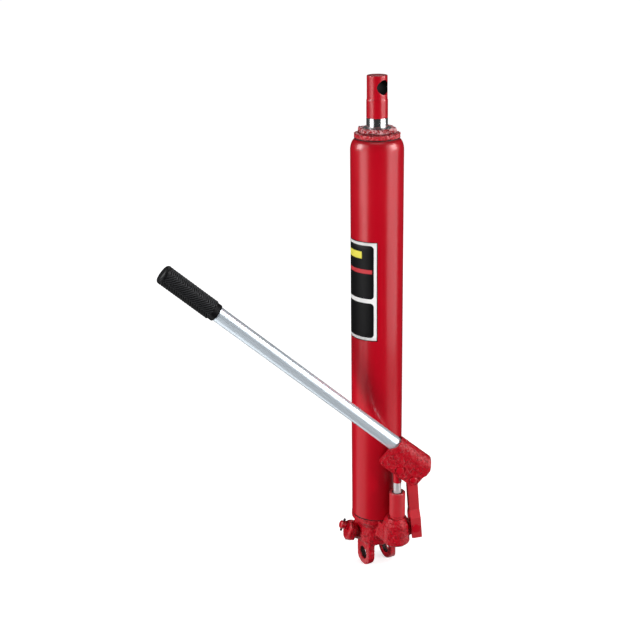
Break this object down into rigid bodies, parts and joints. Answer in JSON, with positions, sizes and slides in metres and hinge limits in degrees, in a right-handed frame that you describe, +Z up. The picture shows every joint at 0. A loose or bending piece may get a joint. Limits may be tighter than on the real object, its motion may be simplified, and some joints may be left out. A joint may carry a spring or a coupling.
{
  "type": "long ram hydraulic jack",
  "caption": "Long upright hydraulic ram jack with a round oil tank, clevis foot, drilled ram eye, side hand pump with link and lever handle, and a release valve.",
  "frame": {"origin": "middle of the lower clevis hole, on the ram axis", "axes": "+Z up the ram axis from the clevis to the ram eye, +Y along the clevis hole, +X from the ram axis to the pump"},
  "size_m": [0.125, 0.307, 0.6276],
  "materials": {
    "red_paint": "gloss paint over cast and turned steel",
    "ram_chrome": "hard chrome, ground and polished",
    "zinc_plate": "bright zinc plate, smooth",
    "machined_steel": "fine turned",
    "dark_steel": "dark oxide",
    "grip_rubber": "satin, finely ribbed",
    "seal_rubber": "satin",
    "seal_plastic": "matt",
    "copper_washer": "soft copper"
  },
  "bodies": {
    "base": {"base_casting": "red_paint", "tank_seal": "seal_rubber", "reservoir_tube": "red_paint", "cylinder_washer": "copper_washer", "pressure_cylinder": "machined_steel", "head_nut": "red_paint", "top_seal": "seal_rubber", "rod_seal": "seal_rubber", "wiper": "seal_rubber", "pump_washer": "copper_washer", "pump_barrel": "red_paint", "plunger_seal": "seal_rubber", "gland_nut": "red_paint", "spindle_seal": "seal_rubber", "foot_pin": "red_paint", "foot_pin_clip": "zinc_plate", "valve_ball": "machined_steel", "suction_ball": "machined_steel", "suction_spring": "machined_steel", "suction_plug": "machined_steel", "delivery_ball": "machined_steel", "delivery_spring": "machined_steel", "delivery_plug": "machined_steel", "relief_ball": "machined_steel", "relief_spring": "machined_steel", "relief_screw": "machined_steel", "filler_plug": "seal_rubber"},
    "ram_seals": {"cup_seal": "seal_rubber", "backup_ring": "seal_plastic"},
    "ram": {"ram": "ram_chrome", "ram_eye": "red_paint", "piston": "machined_steel", "lock_nut": "machined_steel", "stop_collar": "machined_steel"},
    "link": {"near_link": "red_paint", "far_link": "red_paint", "link_spacer": "machined_steel"},
    "socket": {"handle_socket": "red_paint", "plunger_pin": "red_paint", "plunger_pin_clip": "zinc_plate", "link_pin": "red_paint", "link_pin_clip": "zinc_plate"},
    "handle": {"handle_tube": "zinc_plate", "handle_grip": "grip_rubber"},
    "plunger": {"plunger_rod": "ram_chrome", "plunger_head": "red_paint"},
    "valve": {"valve_spindle": "red_paint", "cross_pin": "dark_steel"}
  },
  "joints": [
    {"name": "ram_slide", "type": "slide", "parent": "base", "child": "ram_seals", "axis": [0, 0, 1], "range_m": [0, 0.43]},
    {"name": "ram_turn", "type": "hinge", "parent": "ram_seals", "child": "ram", "pos_m": [0, 0, 0.5976], "axis": [0, 0, 1], "continuous": true},
    {"name": "link_swing", "type": "hinge", "parent": "base", "child": "link", "pos_m": [0.05736, 0.02137, 0.057], "axis": [0.9455, -0.3256, 0], "range_deg": [-6.2, 2.7]},
    {"name": "handle_pump", "type": "hinge", "parent": "link", "child": "socket", "pos_m": [0.05577, 0.01677, 0.12408], "axis": [-0.9455, 0.3256, 0], "range_deg": [-40.8, 17.6]},
    {"name": "handle_pull", "type": "slide", "parent": "socket", "child": "handle", "axis": [-0.2457, -0.7136, 0.6561], "range_m": [0, 0.06]},
    {"name": "plunger_slide", "type": "slide", "parent": "base", "child": "plunger", "axis": [0, 0, 1], "range_m": [-0.0116, 0.005]},
    {"name": "release_valve_turn", "type": "hinge", "parent": "base", "child": "valve", "pos_m": [-0.01075, -0.03749, 0.0385], "axis": [-0.259, -0.9033, 0.342], "range_deg": [0, 360]}
  ],
  "couplings": [
    {"joint": "link_swing", "follows": "handle_pump", "ratio": 0.15},
    {"joint": "plunger_slide", "follows": "handle_pump", "m_per_rad": 0.0162}
  ]
}
